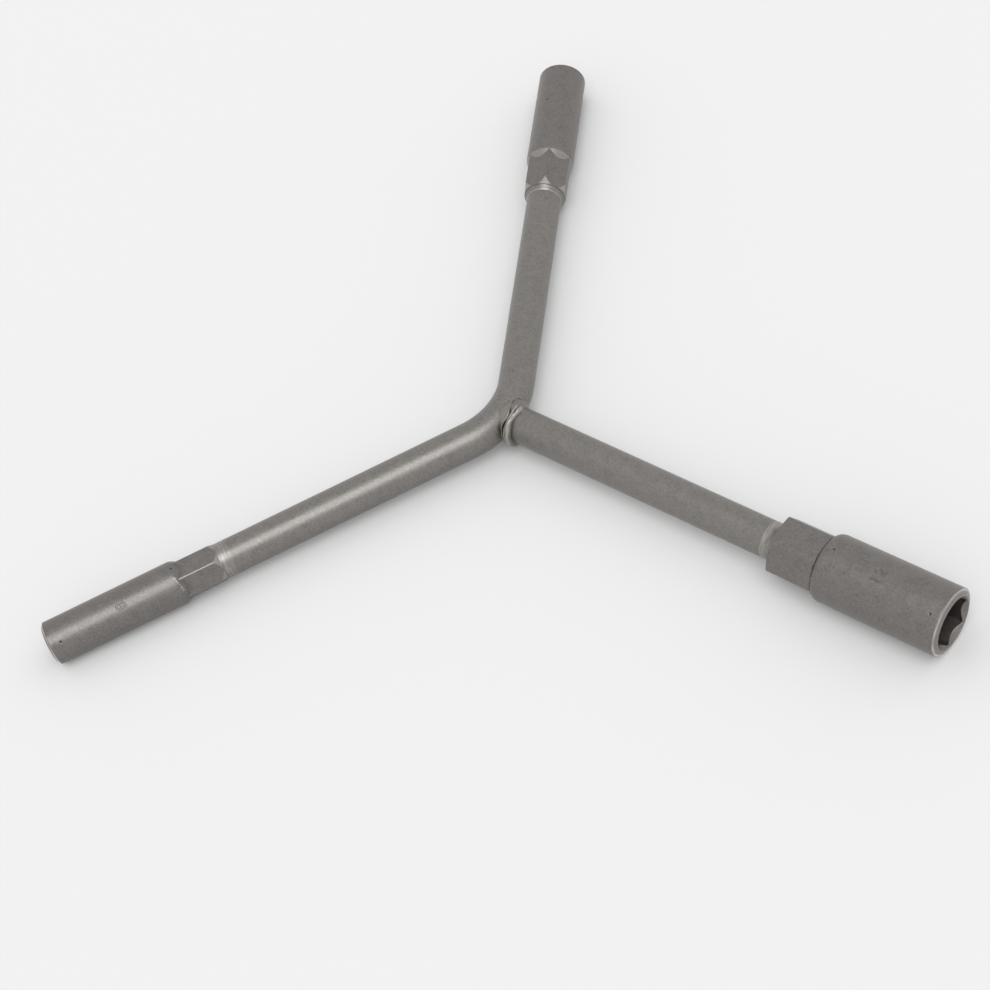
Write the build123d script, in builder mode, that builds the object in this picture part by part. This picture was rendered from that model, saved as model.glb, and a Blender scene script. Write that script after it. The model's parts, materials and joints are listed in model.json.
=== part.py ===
from build123d import *

import os
from math import cos, radians, sin, sqrt, tan

# A Y wrench: three round arms in one plane, each with a hexagon socket on its end.
# One bar is bent to make two of the arms, and a straight bar is welded to the outside
# of the bend to make the third. Each socket is welded to the end of its arm.
#
# Millimetres. The origin is where the three arm axes meet, +X runs out along the large
# socket's arm, and +Z stands up out of the plane of the arms.

# The bars
rod_diameter = 10.0
arm_turn = 120.0  # degrees from one arm to the next
bend_radius = 22.0  # of the bent bar's centreline
stem_lap = 4.0  # how far the straight bar's end reaches over the bent bar

# The weld round the straight bar's foot, heights measured off the bar
seam_reach = 1.8  # from the middle of the wrench to the dark seam behind the lip
seam_height = 0.15
lip_width = 2.1
lip_height = 0.8
lip_groove_height = 0.4
outer_lip_width = 0.8
outer_lip_height = 0.45
lip_shift = 0.45  # how far the lip's middle lies off the bar's, to the small arm's side
flash_width = 0.9
flash_height = 0.45
web_length = 3.0
web_height = 0.25

# The sockets, each with its bore's hexagon a little over its nominal size. A socket's end
# is coned, and a narrow flat ring is left round the countersink.
bore_play = 0.15
countersink_angle = 38.0  # between the countersink and the arm, in degrees
edge_break = 0.2  # between the barrel and its coned end
undercut_depth = 0.15  # the groove where a large neck starts
undercut_width = 0.35
cutter_radius_share = 0.34  # of the neck's flats, a little more than half of one side

# Large socket, straight out along +X
large_size = 12.0
large_rod_reach = 85.4  # from the middle of the wrench to the end of the bar
large_socket_length = 50.45
large_weld_width = 2.0
large_barrel_diameter = 18.0
large_neck_flats = 14.7
large_neck_corners = 16.8  # the round that the neck was turned to before it got flats
large_neck_rise = 1.0  # from the neck's weld to the full round
large_neck_length = 17.0  # from the end of the bar to where the barrel is full size
large_shoulder_radius = 2.3
large_neck_turn = 0.0  # degrees from level to a corner
large_bore_turn = 8.0
large_bore_depth = 25.0
large_relief_diameter = 9.5
large_relief_depth = 6.0
large_countersink_diameter = 14.2
large_rim_diameter = 14.8  # of the flat ring, as for the others
large_rim_rise = 0.6  # along the arm, from the barrel's edge to the flat ring

# Medium socket, at arm_turn degrees
medium_size = 10.0
medium_rod_reach = 82.4
medium_socket_length = 49.1
medium_weld_width = 1.5
medium_barrel_diameter = 13.9
medium_collar_diameter = 12.0
medium_collar_chamfer = 0.2
medium_neck_flats = 11.8
medium_neck_corners = 13.55
medium_neck_rise = 3.6  # from the collar's back to the full round
medium_flats_start = 0.2  # from the end of the bar to the rounded end of a flat
medium_neck_length = 13.8
medium_shoulder_length = 2.8
medium_neck_turn = 42.0
medium_bore_depth = 22.0
medium_relief_diameter = 7.8
medium_relief_depth = 5.0
medium_countersink_diameter = 11.8
medium_rim_diameter = 12.3
medium_rim_rise = 0.45

# Small socket, at minus arm_turn degrees
small_size = 8.0
small_rod_reach = 85.5
small_socket_length = 51.8
small_weld_width = 2.4
small_barrel_diameter = 12.3
small_neck_flats = 10.1
small_neck_corners = 11.45
small_neck_rise = 1.6
small_neck_length = 13.9
small_shoulder_length = 2.2
small_neck_turn = 55.0
small_bore_depth = 20.0
small_relief_diameter = 6.2
small_relief_depth = 4.0
small_countersink_diameter = 9.6
small_rim_diameter = 10.1
small_rim_rise = 0.6

# The size number stamped in the large and in the small barrel. It reads round the barrel,
# with its top towards the bar.
mark_height = 3.0
mark_depth = 0.2
stroke_share = 0.14  # of a digit's height, as the next two are
digit_width_share = 0.62
digit_pitch_share = 0.82
large_mark_setback = 18.9  # from the mouth to the middle of the number
large_mark_turn = 99.0  # degrees up from level to the middle of the number
small_mark_setback = 22.1
small_mark_turn = 58.0

overrun = 1.0  # by which a cut passes the face that it opens

rod_radius = rod_diameter / 2
relief_taper = 59.0  # half the angle of the drill's point, in degrees


def arm_plane(turn):
    """The plane of the arms, turned so that its X axis runs out along one arm."""
    return Plane.XY.rotated((0, 0, turn))


def arm_axis(turn):
    """The line down the middle of one arm."""
    arm = arm_plane(turn)
    return Axis(arm.origin, arm.x_dir)


def across(turn, reach, phase=0.0):
    """A plane square to an arm, its X axis turned up from level by phase degrees."""
    arm = arm_plane(turn)
    x_dir = arm.y_dir * cos(radians(phase)) + arm.z_dir * sin(radians(phase))
    return Plane(origin=arm.origin + arm.x_dir * reach, x_dir=x_dir, z_dir=arm.x_dir)


def beside(turn, reach, phase, distance):
    """A plane beside an arm, facing away from it, its X axis running out along the arm."""
    face = across(turn, reach, phase)
    return Plane(
        origin=face.origin + face.x_dir * distance,
        x_dir=face.z_dir,
        z_dir=face.x_dir,
    )


def build_weld_ring(turn, reach, width):
    """Weld metal in the V between a bar's chamfered end and a neck's, turned flush."""
    with BuildPart() as ring:
        with BuildSketch(arm_plane(turn)):
            with BuildLine():
                Polyline(
                    (reach - width / 2, rod_radius),
                    (reach + width / 2, rod_radius),
                    (reach, rod_radius - width / 2),
                    close=True,
                )
            make_face()
        revolve(axis=arm_axis(turn))
    return ring.part


def build_bore(turn, mouth, flats, depth, phase, relief_diameter, relief_depth, countersink):
    """The tool's hexagon recess, with its countersink and a narrower drilled hole behind."""
    floor = mouth - depth
    relief_radius = relief_diameter / 2
    point = relief_radius / tan(radians(relief_taper))
    corner_radius = flats / sqrt(3)
    cone = (countersink / 2 - flats / 2 + overrun) / tan(radians(countersink_angle))
    with BuildPart() as bore:
        with BuildSketch(across(turn, floor, phase)):
            RegularPolygon(radius=corner_radius, side_count=6)
        extrude(amount=depth + overrun)
        with BuildSketch(arm_plane(turn)):
            with BuildLine():
                Polyline(
                    (floor - relief_depth - point, 0),
                    (floor - relief_depth, relief_radius),
                    (mouth - cone, relief_radius),
                    (mouth - cone, flats / 2 - overrun),
                    (mouth, countersink / 2),
                    (mouth + overrun, countersink / 2),
                    (mouth + overrun, 0),
                    close=True,
                )
            make_face()
        revolve(axis=arm_axis(turn))
    return bore.part


def cut_flats(turn, start, end, flats, phase, blank_radius):
    """Six milled flats from start to end, each with a round end towards the bar."""
    cutter_radius = flats * cutter_radius_share
    middle = (start + cutter_radius + end) / 2
    length = end - start - cutter_radius
    with BuildPart() as cuts:
        for side in range(6):
            turned = phase + 30 + 60 * side
            with BuildSketch(beside(turn, middle, turned, flats / 2)):
                Rectangle(length, 2 * cutter_radius)
                with Locations((-length / 2, 0)):
                    Circle(cutter_radius)
            extrude(amount=blank_radius - flats / 2 + overrun)
    return cuts.part


def draw_digit(digit, x, height):
    """One digit in the current sketch, its middle at x."""
    stroke = height * stroke_share
    width = height * digit_width_share
    if digit == "1":
        with Locations((x, 0)):
            Rectangle(stroke, height)
    elif digit == "2":
        bend = (width - stroke) / 2
        top = height / 2 - stroke / 2
        with BuildLine(Plane.XY) as two:
            ThreePointArc(
                (x - bend, top - bend),
                (x, top),
                (x + bend, top - bend),
            )
            Polyline(
                (x + bend, top - bend),
                (x - bend, -top),
                (x + bend, -top),
            )
        trace(two.line, line_width=stroke)
    elif digit == "8":
        ring = (height + stroke) / 4
        with Locations((x, ring - stroke / 2), (x, stroke / 2 - ring)):
            Circle(ring)
        with Locations((x, ring - stroke / 2), (x, stroke / 2 - ring)):
            Circle(ring - stroke, mode=Mode.SUBTRACT)


def build_mark(text, turn, reach, phase, barrel_diameter):
    """The digits of a size number, equally deep all over in the round barrel."""
    face = across(turn, reach, phase)
    pitch = mark_height * digit_pitch_share
    first = -pitch * (len(text) - 1) / 2
    with BuildPart() as mark:
        with BuildSketch(Plane(origin=face.origin, x_dir=-face.y_dir, z_dir=face.x_dir)):
            for place, digit in enumerate(text):
                draw_digit(digit, first + pitch * place, mark_height)
        extrude(amount=barrel_diameter / 2 + overrun)
        with BuildSketch(across(turn, reach - mark_height)):
            Circle(barrel_diameter / 2 - mark_depth)
        extrude(amount=2 * mark_height, mode=Mode.SUBTRACT)
    return mark.part


# The bar that is bent to make the small and the medium socket's arms
with BuildPart() as bent_bar:
    with BuildLine() as bent_line:
        FilletPolyline(
            arm_plane(-arm_turn).from_local_coords((small_rod_reach, 0)),
            (0, 0),
            arm_plane(arm_turn).from_local_coords((medium_rod_reach, 0)),
            radius=bend_radius,
        )
    with BuildSketch(across(-arm_turn, small_rod_reach)):
        Circle(rod_radius)
    sweep()
    small_end = bent_bar.faces().sort_by(arm_axis(-arm_turn))[-1]
    chamfer(small_end.edges(), length=small_weld_width / 2)
bent_bar.part.label = "bent_bar"

# The straight bar, cut at its foot to the shape of the bent one
bend_middle = bend_radius - bend_radius / cos(radians(arm_turn - 90))
bend_outside = bend_middle + rod_radius
with BuildPart() as stem_bar:
    with BuildSketch(across(0, bend_outside - stem_lap)):
        Circle(rod_radius)
    extrude(amount=large_rod_reach - bend_outside + stem_lap)
    chamfer(stem_bar.faces().sort_by(Axis.X)[-1].edges(), length=large_weld_width / 2)
    add(bent_bar.part, mode=Mode.SUBTRACT)
stem_bar.part.label = "stem_bar"

# The weld between the bars: a web over the bent bar, a thin flash, the dark seam, and a
# lip in two ridges that stands proud of the straight bar
flash_start = seam_reach - flash_width
web_start = flash_start - web_length
lip_end = seam_reach + lip_width
outer_lip_end = lip_end + outer_lip_width
lip_plane = Plane((0, -lip_shift, 0))
with BuildPart() as junction_weld:
    with BuildSketch(arm_plane(0)):
        with BuildLine():
            Polyline(
                (flash_start, rod_radius + web_height),
                (web_start, rod_radius),
                (web_start, rod_radius / 2),
                (seam_reach, rod_radius / 2),
                (seam_reach, rod_radius + seam_height),
            )
            ThreePointArc(
                (flash_start, rod_radius + web_height),
                (flash_start + flash_width / 2, rod_radius + flash_height),
                (seam_reach, rod_radius + seam_height),
            )
        make_face()
    revolve(axis=arm_axis(0))
    with BuildSketch(lip_plane):
        with BuildLine():
            Polyline(
                (seam_reach, rod_radius + seam_height),
                (seam_reach, rod_radius / 2),
                (outer_lip_end, rod_radius / 2),
                (outer_lip_end, rod_radius),
            )
            ThreePointArc(
                (seam_reach, rod_radius + seam_height),
                (seam_reach + lip_width / 2, rod_radius + lip_height),
                (lip_end, rod_radius + lip_groove_height),
            )
            ThreePointArc(
                (lip_end, rod_radius + lip_groove_height),
                (lip_end + outer_lip_width / 2, rod_radius + outer_lip_height),
                (outer_lip_end, rod_radius),
            )
        make_face()
    revolve(axis=Axis(lip_plane.origin, lip_plane.x_dir))
    add(bent_bar.part, mode=Mode.SUBTRACT)
    add(stem_bar.part, mode=Mode.SUBTRACT)
junction_weld.part.label = "junction_weld"

# The large socket: a hexagon neck with a coned back, and a barrel with a round shoulder
large_mouth = large_rod_reach + large_socket_length
large_rim_start = large_mouth - large_rim_rise
large_barrel_radius = large_barrel_diameter / 2
large_neck_radius = large_neck_corners / 2
large_weld_end = large_rod_reach + large_weld_width / 2
large_neck_back = large_weld_end + undercut_width
large_neck_full = large_neck_back + large_neck_rise
large_barrel_start = large_rod_reach + large_neck_length
shoulder_foot = large_barrel_radius - large_shoulder_radius
with BuildPart() as large_socket:
    with BuildSketch(arm_plane(0)):
        with BuildLine():
            Polyline(
                (large_rod_reach, 0),
                (large_rod_reach, rod_radius - large_weld_width / 2),
                (large_weld_end, rod_radius),
                (large_weld_end, rod_radius - undercut_depth),
                (large_neck_back, rod_radius - undercut_depth),
                (large_neck_full, large_neck_radius),
                (large_barrel_start, large_neck_radius),
                (large_barrel_start, 0),
                close=True,
            )
        make_face()
    revolve(axis=Axis.X)
    add(
        cut_flats(
            0,
            large_rod_reach - large_neck_flats,
            large_barrel_start + overrun,
            large_neck_flats,
            large_neck_turn,
            large_neck_radius,
        ),
        mode=Mode.SUBTRACT,
    )
    with BuildSketch(arm_plane(0)):
        with BuildLine():
            Polyline(
                (large_barrel_start - large_shoulder_radius, shoulder_foot),
                (large_barrel_start - large_shoulder_radius, 0),
                (large_mouth, 0),
                (large_mouth, large_rim_diameter / 2),
                (large_rim_start, large_barrel_radius - edge_break),
                (large_rim_start - edge_break, large_barrel_radius),
                (large_barrel_start, large_barrel_radius),
            )
            RadiusArc(
                (large_barrel_start, large_barrel_radius),
                (large_barrel_start - large_shoulder_radius, shoulder_foot),
                -large_shoulder_radius,
            )
        make_face()
    revolve(axis=Axis.X)
    add(
        build_bore(
            0,
            large_mouth,
            large_size + bore_play,
            large_bore_depth,
            large_bore_turn,
            large_relief_diameter,
            large_relief_depth,
            large_countersink_diameter,
        ),
        mode=Mode.SUBTRACT,
    )
    add(
        build_mark(
            "12",
            0,
            large_mouth - large_mark_setback,
            large_mark_turn,
            large_barrel_diameter,
        ),
        mode=Mode.SUBTRACT,
    )
large_socket.part.label = "large_socket"

# The medium socket: a turned collar, milled flats with round ends, and a coned shoulder
medium_mouth = medium_rod_reach + medium_socket_length
medium_rim_start = medium_mouth - medium_rim_rise
medium_barrel_radius = medium_barrel_diameter / 2
medium_collar_radius = medium_collar_diameter / 2
medium_neck_radius = medium_neck_corners / 2
medium_neck_full = medium_rod_reach + medium_neck_rise
medium_barrel_start = medium_rod_reach + medium_neck_length
medium_shoulder_start = medium_barrel_start - medium_shoulder_length
medium_slope = (medium_barrel_radius - medium_neck_flats / 2) / medium_shoulder_length
with BuildPart() as medium_socket:
    with BuildSketch(arm_plane(arm_turn)):
        with BuildLine():
            Polyline(
                (medium_rod_reach, 0),
                (medium_rod_reach, medium_collar_radius - medium_collar_chamfer),
                (medium_rod_reach + medium_collar_chamfer, medium_collar_radius),
                (medium_neck_full, medium_neck_radius),
                (medium_barrel_start, medium_neck_radius),
                (medium_barrel_start, 0),
                close=True,
            )
        make_face()
    revolve(axis=arm_axis(arm_turn))
    add(
        cut_flats(
            arm_turn,
            medium_rod_reach + medium_flats_start,
            medium_barrel_start + overrun,
            medium_neck_flats,
            medium_neck_turn,
            medium_neck_radius,
        ),
        mode=Mode.SUBTRACT,
    )
    with BuildSketch(arm_plane(arm_turn)):
        with BuildLine():
            Polyline(
                (medium_shoulder_start - overrun, 0),
                (medium_shoulder_start - overrun, medium_neck_flats / 2 - overrun * medium_slope),
                (medium_barrel_start, medium_barrel_radius),
                (medium_rim_start - edge_break, medium_barrel_radius),
                (medium_rim_start, medium_barrel_radius - edge_break),
                (medium_mouth, medium_rim_diameter / 2),
                (medium_mouth, 0),
                close=True,
            )
        make_face()
    revolve(axis=arm_axis(arm_turn))
    add(
        build_bore(
            arm_turn,
            medium_mouth,
            medium_size + bore_play,
            medium_bore_depth,
            medium_neck_turn,
            medium_relief_diameter,
            medium_relief_depth,
            medium_countersink_diameter,
        ),
        mode=Mode.SUBTRACT,
    )
medium_socket.part.label = "medium_socket"

# The small socket: a neck that swells out of the bar's size into six flats
small_mouth = small_rod_reach + small_socket_length
small_rim_start = small_mouth - small_rim_rise
small_barrel_radius = small_barrel_diameter / 2
small_neck_radius = small_neck_corners / 2
small_weld_end = small_rod_reach + small_weld_width / 2
small_barrel_start = small_rod_reach + small_neck_length
small_shoulder_start = small_barrel_start - small_shoulder_length
small_slope = (small_barrel_radius - small_neck_flats / 2) / small_shoulder_length
small_shoulder_run = small_shoulder_length / 2
with BuildPart() as small_socket:
    with BuildSketch(arm_plane(-arm_turn)):
        with BuildLine():
            Polyline(
                (small_rod_reach, 0),
                (small_rod_reach, rod_radius - small_weld_width / 2),
                (small_weld_end, rod_radius),
                (small_weld_end + small_neck_rise, small_neck_radius),
                (small_barrel_start, small_neck_radius),
                (small_barrel_start, 0),
                close=True,
            )
        make_face()
    revolve(axis=arm_axis(-arm_turn))
    add(
        cut_flats(
            -arm_turn,
            small_rod_reach - small_neck_flats,
            small_barrel_start + overrun,
            small_neck_flats,
            small_neck_turn,
            small_neck_radius,
        ),
        mode=Mode.SUBTRACT,
    )
    with BuildSketch(arm_plane(-arm_turn)):
        with BuildLine():
            Polyline(
                (small_shoulder_start - small_shoulder_run, 0),
                (
                    small_shoulder_start - small_shoulder_run,
                    small_neck_flats / 2 - small_shoulder_run * small_slope,
                ),
                (small_barrel_start, small_barrel_radius),
                (small_rim_start - edge_break, small_barrel_radius),
                (small_rim_start, small_barrel_radius - edge_break),
                (small_mouth, small_rim_diameter / 2),
                (small_mouth, 0),
                close=True,
            )
        make_face()
    revolve(axis=arm_axis(-arm_turn))
    add(
        build_bore(
            -arm_turn,
            small_mouth,
            small_size + bore_play,
            small_bore_depth,
            small_neck_turn,
            small_relief_diameter,
            small_relief_depth,
            small_countersink_diameter,
        ),
        mode=Mode.SUBTRACT,
    )
    add(
        build_mark(
            "8",
            -arm_turn,
            small_mouth - small_mark_setback,
            small_mark_turn,
            small_barrel_diameter,
        ),
        mode=Mode.SUBTRACT,
    )
small_socket.part.label = "small_socket"

# The welds of the large and the small socket lie flush between bar and neck
large_weld = build_weld_ring(0, large_rod_reach, large_weld_width)
large_weld.label = "large_weld"
small_weld = build_weld_ring(-arm_turn, small_rod_reach, small_weld_width)
small_weld.label = "small_weld"

# The medium socket's weld is a coned fillet in the corner behind the collar
collar_back_radius = medium_collar_radius - medium_collar_chamfer
with BuildPart() as medium_weld:
    with BuildSketch(arm_plane(arm_turn)):
        with BuildLine():
            Polyline(
                (medium_rod_reach - medium_weld_width, rod_radius),
                (medium_rod_reach, rod_radius),
                (medium_rod_reach, collar_back_radius),
                close=True,
            )
        make_face()
    revolve(axis=arm_axis(arm_turn))
medium_weld.part.label = "medium_weld"

os.makedirs("parts", exist_ok=True)
export_step(bent_bar.part, "parts/bent_bar.step")
export_step(stem_bar.part, "parts/stem_bar.step")
export_step(junction_weld.part, "parts/junction_weld.step")
export_step(large_socket.part, "parts/large_socket.step")
export_step(medium_socket.part, "parts/medium_socket.step")
export_step(small_socket.part, "parts/small_socket.step")
export_step(large_weld, "parts/large_weld.step")
export_step(medium_weld.part, "parts/medium_weld.step")
export_step(small_weld, "parts/small_weld.step")

print("reach of each socket's mouth", large_mouth, medium_mouth, small_mouth)
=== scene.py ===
# %% [markdown]
# # A Y wrench in satin steel
#
# A Y wrench is three steel arms in one plane, with a hexagon socket on each end. One round
# bar is bent to make two of the arms, a second bar is welded to the outside of the bend,
# and the sockets are welded to the bars' ends. It is then blasted and plated, which leaves
# a soft grey skin all over, with brighter metal where it was turned or rubbed.
#
# Nothing on it is soft and nothing moves, so the lesson is about small forms: flats milled
# on a round neck, a weld's ripples, and edges that catch the light.

# %% Load the wrench's frame
import json
from math import atan2, cos, degrees, hypot, pi, radians, sin, sqrt, tan

import bmesh
import bpy
from mathutils import Matrix, Vector, noise


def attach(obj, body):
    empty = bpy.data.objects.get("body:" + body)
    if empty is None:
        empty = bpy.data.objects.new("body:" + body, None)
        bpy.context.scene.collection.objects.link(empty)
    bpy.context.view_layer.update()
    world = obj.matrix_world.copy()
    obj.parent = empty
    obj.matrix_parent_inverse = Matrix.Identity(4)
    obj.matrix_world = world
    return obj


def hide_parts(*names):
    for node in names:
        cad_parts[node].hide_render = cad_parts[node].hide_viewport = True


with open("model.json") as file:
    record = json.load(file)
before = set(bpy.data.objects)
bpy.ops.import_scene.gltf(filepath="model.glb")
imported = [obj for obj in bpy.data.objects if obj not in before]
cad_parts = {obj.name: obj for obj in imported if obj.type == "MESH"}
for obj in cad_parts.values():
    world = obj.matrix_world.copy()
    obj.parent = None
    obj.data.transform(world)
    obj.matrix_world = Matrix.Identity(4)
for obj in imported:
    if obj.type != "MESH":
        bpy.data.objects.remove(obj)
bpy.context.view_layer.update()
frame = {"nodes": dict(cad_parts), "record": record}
mm = 0.001
print("nodes:", sorted(frame["nodes"]))

# %% [markdown]
# ## Where the arms are
#
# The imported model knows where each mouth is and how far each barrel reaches. Reading the
# places from it, and not typing them again, keeps every new piece on its arm. Lengths are
# metres here, measured out along an arm from the middle of the wrench.

# %% Read the arms from the frame
mounts = {mount["name"]: mount for mount in frame["record"]["mounts"]}


def read_arm(name):
    """The places along one arm, from the mounts of its socket."""
    out = Vector(mounts[name + "_mouth"]["axis"])
    barrel = mounts[name + "_barrel"]
    relief = mounts[name + "_relief"]
    barrel_middle = Vector(barrel["pos_m"]).dot(out)
    relief_middle = Vector(relief["pos_m"]).dot(out)
    return {
        "name": name,
        "turn": atan2(out.y, out.x),
        "mouth": Vector(mounts[name + "_mouth"]["pos_m"]).dot(out),
        "barrel_start": barrel_middle - barrel["dims"]["length_mm"] * mm / 2,
        "barrel_end": barrel_middle + barrel["dims"]["length_mm"] * mm / 2,
        "barrel_radius": barrel["dims"]["r_mm"] * mm,
        "hex_floor": relief_middle + relief["dims"]["length_mm"] * mm / 2,
        "relief_floor": relief_middle - relief["dims"]["length_mm"] * mm / 2,
        "relief_radius": relief["dims"]["r_mm"] * mm,
    }


large, medium, small = read_arm("large"), read_arm("medium"), read_arm("small")
for arm in (large, medium, small):
    print(arm["name"], "arm turned", round(degrees(arm["turn"])), "degrees, mouth at",
          round(arm["mouth"] / mm, 2), "mm")

# %% [markdown]
# ## The bars
#
# Each bar is a plain round rod, drawn to size. A rod can be made as a curve with a round
# bevel, but then its ends and its bend are only as good as the curve's handles. Here the
# ring at one end is extruded along the straight run, spun round the bend's centre, and
# extruded again, which is how a bending machine makes it, so the bend is a true arc.

# %% Sizes of the bars
rod_radius = 5 * mm
bend_radius = 22 * mm
large_rod_reach = 85.4 * mm
medium_rod_reach = 82.4 * mm
small_rod_reach = 85.5 * mm
stem_lap = 4 * mm  # how far the straight bar's foot reaches over the bent one
bar_sides = 96
sharp_from = radians(50)  # a corner this sharp stays sharp when the mesh is shaded smooth
print("the bars are", round(2 * rod_radius / mm), "mm thick, and one is bent round",
      round(bend_radius / mm), "mm")


def finish_mesh(bm, name, turn=0.0):
    """Turn a mesh onto its arm, face it outwards, shade it smooth and make it a piece."""
    bmesh.ops.rotate(bm, verts=bm.verts, cent=(0, 0, 0), matrix=Matrix.Rotation(turn, 3, "Z"))
    bmesh.ops.recalc_face_normals(bm, faces=bm.faces)
    for face in bm.faces:
        face.smooth = True
    for edge in bm.edges:
        edge.smooth = edge.calc_face_angle(0) < sharp_from
    mesh = bpy.data.meshes.new(name)
    bm.to_mesh(mesh)
    bm.free()
    piece = bpy.data.objects.new(name, mesh)
    bpy.context.scene.collection.objects.link(piece)
    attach(piece, "root")
    print(name, "has", len(mesh.polygons), "faces")
    return piece


def square_ring(bm, radius, reach, sides):
    """A ring of edges square to the X axis."""
    across = Matrix.Translation((reach, 0, 0)) @ Matrix.Rotation(pi / 2, 4, "Y")
    ring = bmesh.ops.create_circle(bm, radius=radius, segments=sides, matrix=across)
    return ring["verts"]


def edges_among(bm, verts):
    """The edges that have both ends among the given vertices."""
    chosen = set(verts)
    return [edge for edge in bm.edges if all(vert in chosen for vert in edge.verts)]


def extrude_ring(bm, ring, direction, length):
    """Carry a ring of vertices straight on and return the new ring."""
    made = bmesh.ops.extrude_edge_only(bm, edges=edges_among(bm, ring))["geom"]
    fresh = [part for part in made if isinstance(part, bmesh.types.BMVert)]
    bmesh.ops.translate(bm, verts=fresh, vec=direction * length)
    return fresh


# %% Bend the long bar
def make_bent_bar():
    """From the small socket's end, along the arm, round the bend and out to the medium one."""
    half_turn = medium["turn"] - pi / 2
    tangent_run = bend_radius * sin(half_turn) / cos(half_turn)
    bend_centre = Vector((-bend_radius / cos(half_turn), 0, 0))
    bm = bmesh.new()
    ring = square_ring(bm, rod_radius, small_rod_reach, bar_sides)
    bmesh.ops.rotate(bm, verts=ring, cent=(0, 0, 0), matrix=Matrix.Rotation(small["turn"], 3, "Z"))
    inward = -Vector((cos(small["turn"]), sin(small["turn"]), 0))
    ring = extrude_ring(bm, ring, inward, small_rod_reach - tangent_run)
    spun = bmesh.ops.spin(
        bm, geom=ring + edges_among(bm, ring), cent=bend_centre, axis=(0, 0, 1),
        angle=2 * half_turn, steps=32, use_merge=False,
    )
    ring = [part for part in spun["geom_last"] if isinstance(part, bmesh.types.BMVert)]
    outward = Vector((cos(medium["turn"]), sin(medium["turn"]), 0))
    extrude_ring(bm, ring, outward, medium_rod_reach - tangent_run)
    bmesh.ops.holes_fill(bm, edges=bm.edges)
    return finish_mesh(bm, "bent_rod")


bent_rod = make_bent_bar()
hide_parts("bent_bar")


# %% Draw the straight bar
def make_stem():
    """Its foot ends inside the bent bar, under the weld."""
    bend_middle = bend_radius - bend_radius / cos(medium["turn"] - pi / 2)
    foot = bend_middle + rod_radius - stem_lap
    bm = bmesh.new()
    ring = square_ring(bm, rod_radius, foot, bar_sides)
    extrude_ring(bm, ring, Vector((1, 0, 0)), large_rod_reach - foot)
    bmesh.ops.holes_fill(bm, edges=bm.edges)
    return finish_mesh(bm, "stem_rod")


stem_rod = make_stem()
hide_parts("stem_bar")

# %% [markdown]
# ## Turning a socket
#
# A socket starts as a turned blank: an outline spun round the arm. The flats are milled on
# the blank afterwards. A boolean with a hexagon would leave knife edges, which a blasted
# and plated part never has. So the blank gets fine rings, and every vertex that stands out
# of a flat is pulled down to it. A smooth minimum in place of a plain one rounds the edge
# by a tenth of a millimetre or so, and the same trick rounds the inner corners.

# %% Helpers for turned forms
turn_steps = 360


def spin_outline(outline):
    """Spin (reach, radius, longest edge) points round the X axis.

    A sixth is spun and then repeated, as a whole turn in so many steps takes far longer.
    """
    bm = bmesh.new()
    last = bm.verts.new((outline[0][0], outline[0][1], 0))
    for reach, radius, longest in outline[1:]:
        start, end = last.co.copy(), Vector((reach, radius, 0))
        runs = 1 + int((end - start).length / longest)
        for run in range(1, runs + 1):
            point = bm.verts.new(start.lerp(end, run / runs))
            bm.edges.new((last, point))
            last = point
    bmesh.ops.spin(
        bm, geom=bm.verts[:] + bm.edges[:], cent=(0, 0, 0), axis=(1, 0, 0),
        angle=pi / 3, steps=turn_steps // 6, use_merge=False,
    )
    sixth = bm.verts[:] + bm.edges[:] + bm.faces[:]
    for turn in range(1, 6):
        copied = bmesh.ops.duplicate(bm, geom=sixth)["geom"]
        bmesh.ops.rotate(
            bm, verts=[part for part in copied if isinstance(part, bmesh.types.BMVert)],
            cent=(0, 0, 0), matrix=Matrix.Rotation(turn * pi / 3, 3, "X"),
        )
    bmesh.ops.remove_doubles(bm, verts=bm.verts, dist=1e-6)
    return bm


def smooth_least(a, b, blend):
    """The lesser of two lengths, rounded where they are within blend of each other."""
    near = max(blend - abs(a - b), 0) / blend
    return min(a, b) - near * near * blend / 4


def smooth_most(a, b, blend):
    """The greater of two lengths, rounded where they are close."""
    return -smooth_least(-a, -b, blend)


def set_radius(vert, radius):
    """Move a vertex in or out, square to the X axis."""
    now = hypot(vert.co.y, vert.co.z)
    if now > 0:
        vert.co.y *= radius / now
        vert.co.z *= radius / now


def add_wear_and_shade(bm):
    """Two numbers at each vertex for the finishes to read: how rubbed it is, with a painted glint
    in one place, and how much painted shade darkens it.
    """
    bm.verts.layers.float.new("polish_and_glint")
    bm.verts.layers.float.new("tarnish")
    return bm.verts.layers.float["polish_and_glint"], bm.verts.layers.float["tarnish"]


def ease(low, high, value):
    """0 below low, 1 above high, and a smooth rise between."""
    share = min(max((value - low) / (high - low), 0), 1)
    return share * share * (3 - 2 * share)


def off_flat(angle, corner_turn):
    """Radians from an angle to the middle of the nearest of six flats."""
    sixth = pi / 3
    return (angle - corner_turn) % sixth - sixth / 2


# %% [markdown]
# ### Three sockets from one recipe
#
# The three sockets are one kind of thing with other numbers: the hexagon's size, the blank,
# the flats milled on it, the shoulder up to the barrel, where it is rubbed, and where painted
# shade darkens it.
# So each arm keeps its numbers, and the functions below work for all three. The cutter's
# path isn't drawn: each flat's end is a circle's arc, so how far the flat reaches is plain
# arithmetic at every vertex.

# %% Sizes of the sockets
fine = 0.15 * mm  # ring spacing where flats are cut
coarse = 2 * mm
bore_play = 0.15 * mm
cutter_share = 0.34  # the radius of the cutter that milled the flats, as a share of their width
edge_break = 0.2 * mm  # between the barrel and its coned end
countersink_slope = tan(radians(38))
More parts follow.
